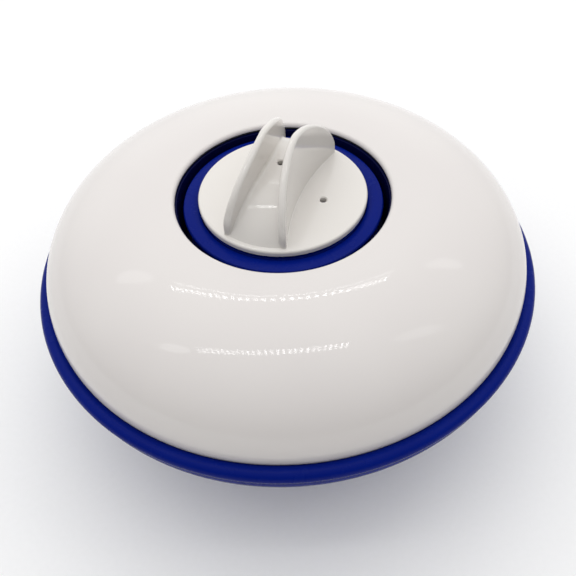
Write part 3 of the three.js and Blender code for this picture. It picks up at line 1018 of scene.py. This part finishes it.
def wave_spring():
    """Split wave washer of round wire."""
    low, high = foot("lid_spring"), top("lid_spring")
    middle, swing = (low + high) / 2, (high - low) / 2 - WASHER_WIRE
    deselect()
    bpy.ops.mesh.primitive_torus_add(
        major_radius=WASHER_R * MM, minor_radius=WASHER_WIRE * MM, major_segments=180,
        minor_segments=12)
    piece = bpy.context.object
    piece.name = "wave_washer"
    edit(piece, "VERT")
    bpy.ops.mesh.select_all(action="DESELECT")
    leave()
    for vertex in piece.data.vertices:
        turn = math.atan2(vertex.co.y, vertex.co.x)
        vertex.select = abs(turn) < math.radians(WASHER_SPLIT)
        vertex.co.z += (middle + swing * math.sin(WASHER_WAVES * turn)) * MM
    edit(piece, "VERT")
    bpy.ops.mesh.delete(type="VERT")
    bpy.ops.mesh.select_non_manifold()
    bpy.ops.mesh.edge_face_add()
    leave()
    smooth(close_up(piece), 50)
    finished(piece, "plug", STAINLESS, "stainless", "lid_spring")
    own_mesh(piece)
    return piece


# ---------- studio ----------

CAMERA_TURN = 23.0  # degrees round the object, from -Y towards +X
CAMERA_RISE = 46.88
CAMERA_FAR = 374.6  # from the middle of the rim
CAMERA_ROLL = -2.38
LOOK_AT = Vector((6.95, 2.95, RIM_Z - 30.8))
LENS = 41.68
SENSOR = 36
SHIFT_X = -0.0237
SHIFT_Y = 0.0004


def camera():
    turn, up = math.radians(CAMERA_TURN), math.radians(CAMERA_RISE)
    stand = CAMERA_FAR * Vector((
        math.sin(turn) * math.cos(up), -math.cos(turn) * math.cos(up), math.sin(up)))
    stand.z += RIM_Z
    away = (stand - LOOK_AT).normalized()
    right = away.cross(Vector((0, 0, -1))).normalized()
    head = away.cross(right)
    roll = math.radians(CAMERA_ROLL)
    side = math.cos(roll) * right + math.sin(roll) * head
    above = -math.sin(roll) * right + math.cos(roll) * head
    bpy.ops.object.camera_add()
    eye = bpy.context.object
    eye.name = "camera"
    eye.matrix_world = Matrix.Translation(stand * MM) @ Matrix(
        (side, above, away)).transposed().to_4x4()
    eye.data.lens = LENS
    eye.data.sensor_width = SENSOR
    eye.data.shift_x = SHIFT_X
    eye.data.shift_y = SHIFT_Y
    eye.data.clip_start = 0.01
    bpy.context.scene.camera = eye
    return eye


def area_light(name, place, aim, size, power):
    deselect()
    bpy.ops.object.light_add(type="AREA", location=place)
    light = bpy.context.object
    light.name = name
    light.rotation_euler = (Vector(place) - Vector(aim)).to_track_quat("Z", "Y").to_euler()
    light.data.shape = "RECTANGLE"
    light.data.size, light.data.size_y = size
    light.data.energy = power
    return light


def floor():
    deselect()
    bpy.ops.mesh.primitive_plane_add(size=8, location=(0, 0, -0.0002))
    piece = bpy.context.object
    piece.name = "floor"
    material, tree, shader, place = fresh("white_paper_sheet")
    grain = noise(tree, place, size_mm=3, detail=3.0)
    tree.links.new(shade_between(tree, grain, "#f0f0f0", "#f4f4f4"), shader.inputs["Base Color"])
    shader.inputs["Roughness"].default_value = 0.9
    piece.data.materials.append(material)


# The booth is in metres
BOOTH_TOP = 1.0
LAMP_WIDE = 0.010
ROOM_DIM = 0.09
ROOM_BRIGHT = 1.36
ROOM_DIM_AT = -0.45  # cosine from the brightest direction
ROOM_LEAN = 0.5
ROOM_UP = 0.87


def booth_place(across, away, height=BOOTH_TOP):
    """Point in the light booth, which stands square to the camera."""
    turn = math.radians(CAMERA_TURN)
    return (across * math.cos(turn) - away * math.sin(turn),
            across * math.sin(turn) + away * math.cos(turn), height)


def booth_lamp(name, across, away, size, strength):
    """Lamp that faces straight down; strength is its brightness at any size."""
    place = booth_place(across, away)
    power = strength * math.pi * size[0] * size[1]
    light = area_light(name, place, (place[0], place[1], 0), size, power)
    light.rotation_euler = (0, 0, math.radians(CAMERA_TURN))
    return light


def lamp_strip(name, start, end, away, count, long, strength):
    """Row of small lamps across the booth, each of them long away from it."""
    for i in range(count):
        across = start + (end - start) * i / (count - 1)
        booth_lamp(f"{name}_{i + 1}", across, away, (LAMP_WIDE, long), strength)


def booth_glow(name, across, away, size, strength):
    """Soft-edged patch of light, built up from nested round lamps."""
    for share in (1.0, 0.75, 0.5, 0.25):
        lamp = booth_lamp(
            f"{name}_{share}", across, away, (share * size[0], share * size[1]), strength)
        lamp.data.shape = "ELLIPSE"


def soft_room():
    """World that is brightest overhead and behind the object, and dims
    smoothly towards the camera's side."""
    world = bpy.data.worlds.new("soft_room")
    bpy.context.scene.world = world
    world.use_nodes = True
    tree = world.node_tree
    background = tree.nodes["Background"]
    background.inputs["Color"].default_value = (1, 1, 1, 1)
    turn = math.radians(CAMERA_TURN)
    bright = Vector((-ROOM_LEAN * math.sin(turn), ROOM_LEAN * math.cos(turn), ROOM_UP))
    direction = node(tree, "ShaderNodeTexCoord").outputs["Generated"]
    facing = node(
        tree, "ShaderNodeVectorMath", {"operation": "DOT_PRODUCT"}, {1: bright},
        {0: direction}).outputs["Value"]
    glow = node(
        tree, "ShaderNodeMapRange", {"interpolation_type": "SMOOTHSTEP"},
        {"From Min": ROOM_DIM_AT, "From Max": 1.0, "To Min": ROOM_DIM, "To Max": ROOM_BRIGHT},
        {"Value": facing}).outputs["Result"]
    tree.links.new(glow, background.inputs["Strength"])


def studio():
    """Soft white booth with two strips of small lamps across its ceiling, and
    dimmer ones further out."""
    scene = bpy.context.scene
    scene.view_settings.view_transform = "Standard"
    scene.view_settings.look = "None"
    soft_room()
    booth_lamp("ceiling_seam", across=-0.02, away=0.465, size=(0.74, 0.006), strength=7)
    lamp_strip(
        "back_strip", start=-0.41, end=0.32, away=0.415, count=31, long=0.034, strength=12)
    lamp_strip(
        "front_strip", start=-0.44, end=0.235, away=-0.155, count=28, long=0.050, strength=11)
    booth_glow("back_left_glow", across=-0.71, away=0.48, size=(0.40, 0.10), strength=1.0)
    booth_glow("back_right_glow", across=0.78, away=0.43, size=(0.46, 0.09), strength=1.0)
    booth_glow("front_left_glow", across=-0.62, away=-0.16, size=(0.24, 0.10), strength=1.5)
    booth_glow("front_right_glow", across=0.76, away=-0.18, size=(0.5, 0.12), strength=0.9)


camera()
dome()
base()
neck_tube()
for ring_name in ("rim_gasket", "neck_gasket", "collar_gasket", "sleeve_friction_ring"):
    gasket(ring_name)
gasket("lid_gasket", "lid_seal")
collar()
nut()
basket()
grate()
sleeve()
foot_cap()
weight()
screws()
lid()
cap_plug()
wave_spring()
floor()
studio()

deselect()
